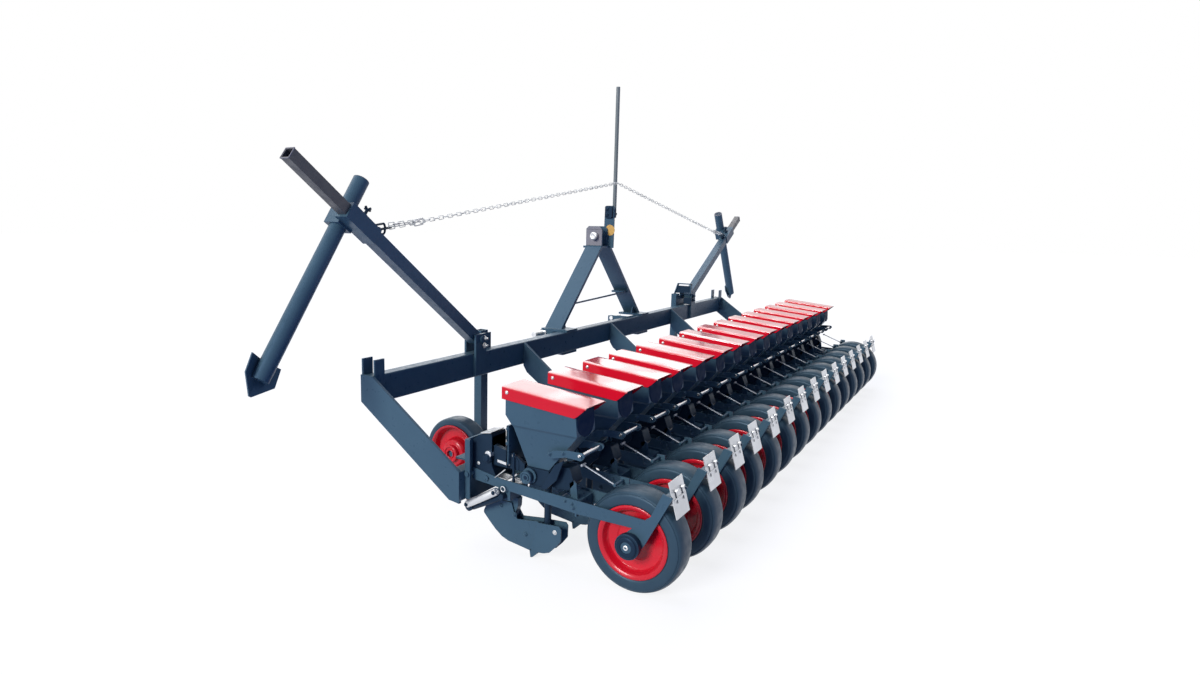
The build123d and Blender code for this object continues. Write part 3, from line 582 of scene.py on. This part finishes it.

# ---------------------------------------------------------------- marker clamps
# A wing screw locks each marker's sliding tube, and square bolts hold the round leg in its clamp.
# The open ends of leg and tube have a pale grey-brown rim, and a black disc on the leg's end is a painted shade for
# its hollow inside.
# Tilt and turn are in degrees, leg_top in metres, the rest in the drawing's millimetres.
markers = {"left": {"out": -1.0, "tilt": 36.6, "clamp": 853.0, "leg_turn": 2.0, "leg_top": 0.165, "tube_end": 1188},
           "right": {"out": 1.0, "tilt": 28.9, "clamp": 916.0, "leg_turn": -3.2, "leg_top": 0.178, "tube_end": 1158}}
pivot_x, pivot_y, pivot_z = 1244.0, 515.0, 612.0
screw_gap, half_tube = 34, 20.5
leg_rim_profile = rounded([(0.024, 0.0), (0.0302, 0.0), (0.0302, 0.0015), (0.024, 0.0015)], 0.0004, 1)
for side, made in markers.items():
    out, tilt, clamp = made["out"], made["tilt"], made["clamp"]
    along = np.array([out * math.cos(math.radians(tilt)), 0.0, math.sin(math.radians(tilt))])
    over = np.array([-out * math.sin(math.radians(tilt)), 0.0, math.cos(math.radians(tilt))])
    pivot = np.array([out * pivot_x, pivot_y, pivot_z])

    def on_arm(reach, height, y=0.0):
        """A point of the arm: so far out from the pivot, over its middle line and along Y."""
        return site(*(pivot + along * reach + over * height + np.array([0.0, y, 0.0])))

    screw = clamp - screw_gap
    stem = bar(on_arm(screw, 28), on_arm(screw, 66), 0.0060, 12)
    wings = [bar(on_arm(screw, 62, -s * 2), on_arm(screw, 70, s * 15), 0.0046, 12, 0.001) for s in (-1, 1)]
    wings += [bar(on_arm(screw - s * 2, 62), on_arm(screw + s * 14, 70), 0.0046, 12, 0.001) for s in (-1, 1)]
    collar = bar(on_arm(screw, 26), on_arm(screw, 42), 0.0125, 6)
    leg_bolts = join_shells(*[bolt(on_arm(clamp + a, 0, 93), (0, 1, 0), 0.009) for a in (-22, 22)])
    piece(f"marker_screw_{side}", [(join_shells(stem, collar, leg_bolts, *wings), black_paint)], f"marker_{side}_body")

    leg_tilt = math.radians(tilt - made["leg_turn"])
    rise = np.array([-out * math.sin(leg_tilt), 0.0, math.cos(leg_tilt)])
    leg_end = np.array(on_arm(clamp, 0, 57)) + rise * made["leg_top"]
    rim = lathe(leg_rim_profile, tuple(leg_end), tuple(rise), 40)
    # A black disc closes the leg's open end: painted shade for the tube's hollow inside.
    leg_hollow_shade = bar(tuple(leg_end - rise * 0.001), tuple(leg_end + rise * 0.0006), 0.0245, 40, 0.0002)
    corners = [on_arm(made["tube_end"], a * half_tube, b * half_tube) for a, b in ((-1, -1), (-1, 1), (1, 1), (1, -1))]
    mouth = join_shells(*[bar(a, b, 0.0020, 8, 0.0004) for a, b in zip(corners, corners[1:] + corners[:1])])
    piece(f"marker_ends_{side}", [(join_shells(rim, mouth), taupe), (leg_hollow_shade, black_paint)], f"marker_{side}_body")

# ---------------------------------------------------------------- marker brackets
# Nuts hold the pivot brackets on the front toolbar. The right bracket carries a bent stop loop
# with a plate in it that is painted black, a painted shade for the loop's dark inside.
nuts_at = {out: join_shells(*[bolt(site(out * 1230, 471, z), (0, -1, 0), 0.009, 0.007, 0.012) for z in (615, 584)])
           for out in (-1, 1)}
piece("bracket_nuts", [(nuts_at[-1], zinc), (nuts_at[1], black_paint)])

loop = join_shells(slab([(460, 699), (563, 699), (560, 706), (460, 706)], 1158, 1178),
                   slab([(582, 628), (589, 628), (563, 706), (556, 702)], 1158, 1178),
                   slab([(460, 636), (467, 636), (467, 704), (460, 704)], 1158, 1178))
# The first plate fills the loop, painted black as the shade of its inside; the second, also black, sits below the
# loop.
shade_plate_and_block = join_shells(slab([(466, 642), (582, 634), (568, 688), (466, 688)], 1166, 1170),
                      slab([(460, 560), (516, 560), (516, 606), (460, 606)], 1168, 1176))
piece("marker_rest", [(copies(loop, in_place), slate_paint), (copies(shade_plate_and_block, in_place), black_paint)])

# ---------------------------------------------------------------- marker chains
# Zinc-plated chains run from a ring on the mast to the eye of each marker arm. The spare links
# are hooked back on the chain.
chain_zinc = coated("chain_zinc", (0.52, 0.54, 0.57), (0.40, 0.42, 0.45), 0.28, 0.5, metallic=0.9)


def chain_link(centre, run, across, pitch=0.028, width=0.0072, wire=0.0017, steps=12, sides=5):
    """One link: a stadium of wire round `centre`, long along `run` and wide along `across`."""
    run, across = np.array(Vector(run).normalized()), np.array(Vector(across).normalized())
    square = np.cross(run, across)
    t = (np.arange(steps) + 0.5) * 2 * math.pi / steps
    push = np.where(np.cos(t) >= 0, 1.0, -1.0) * (pitch / 2 - width / 2 + wire)
    middle = np.array(centre) + (np.cos(t) * width / 2 + push)[:, None] * run + (np.sin(t) * width)[:, None] * across
    outward = np.cos(t)[:, None] * run + np.sin(t)[:, None] * across
    a = np.arange(sides) * 2 * math.pi / sides
    ring = np.cos(a)[None, :, None] * outward[:, None, :] + np.sin(a)[None, :, None] * square
    return (middle[:, None, :] + wire * ring).reshape(-1, 3), grid_faces(steps, sides, True, True)


def strand(start, end, pitch=0.028, **shape):
    """Links from start to end, each turned a quarter round from the last and a little at random."""
    start, end = np.array(start), np.array(end)
    count = int(round(np.linalg.norm(end - start) / pitch))
    run = (end - start) / np.linalg.norm(end - start)
    flat = np.array(Vector(run).orthogonal().normalized())
    up = np.cross(run, flat)
    links = []
    for k in range(count):
        u = (k + 0.5) / count
        spin = math.pi / 2 * k + 0.5 + float(rng.normal(0.0, 0.16))
        middle = start + (end - start) * u
        links.append(chain_link(middle, run, flat * math.cos(spin) + up * math.sin(spin), pitch, **shape))
    return join_shells(*links)


hook = np.array([0.019, 0.496, 1.356])
ring_profile = rounded([(0.0125, -0.0035), (0.0175, -0.0035), (0.0175, 0.0035), (0.0125, 0.0035)], 0.0012, 2)
ring = lathe(ring_profile, tuple(hook + [0, 0.012, 0]), (0, 0, 1), 24)
eyes = {"left": np.array([-1.849, 0.505, 1.0915]), "right": np.array([1.886, 0.505, 1.0418])}
for side, eye_at in eyes.items():
    run = hook - eye_at
    run /= np.linalg.norm(run)
    main = strand(eye_at + run * 0.055, hook - run * 0.012)
    shackle = join_shells(chain_link(eye_at + run * 0.002, run, (0, 0, 1), 0.056, 0.019, 0.0042, 20, 8),
                          chain_link(eye_at + run * 0.034, run, (0, 1, 0), 0.044, 0.012, 0.0028, 18, 8))
    spare = strand(eye_at + run * 0.045 + np.array([0, -0.010, 0.012]),
                   eye_at + run * 0.205 + np.array([0, -0.006, 0.004]), width=0.0080, wire=0.0021)
    clip = chain_link(eye_at + run * 0.212 + np.array([0, -0.004, 0.0]), run, (0, 0, 1), 0.046, 0.012, 0.0028, 18, 8)
    parts = [main, spare, clip] + ([ring] if side == "left" else [])
    thing = piece(f"chain_{side}", [(join_shells(*parts), chain_zinc), (shackle, black_paint)], None,
                  ["marker_chains"], 60.0)
    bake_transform(thing)
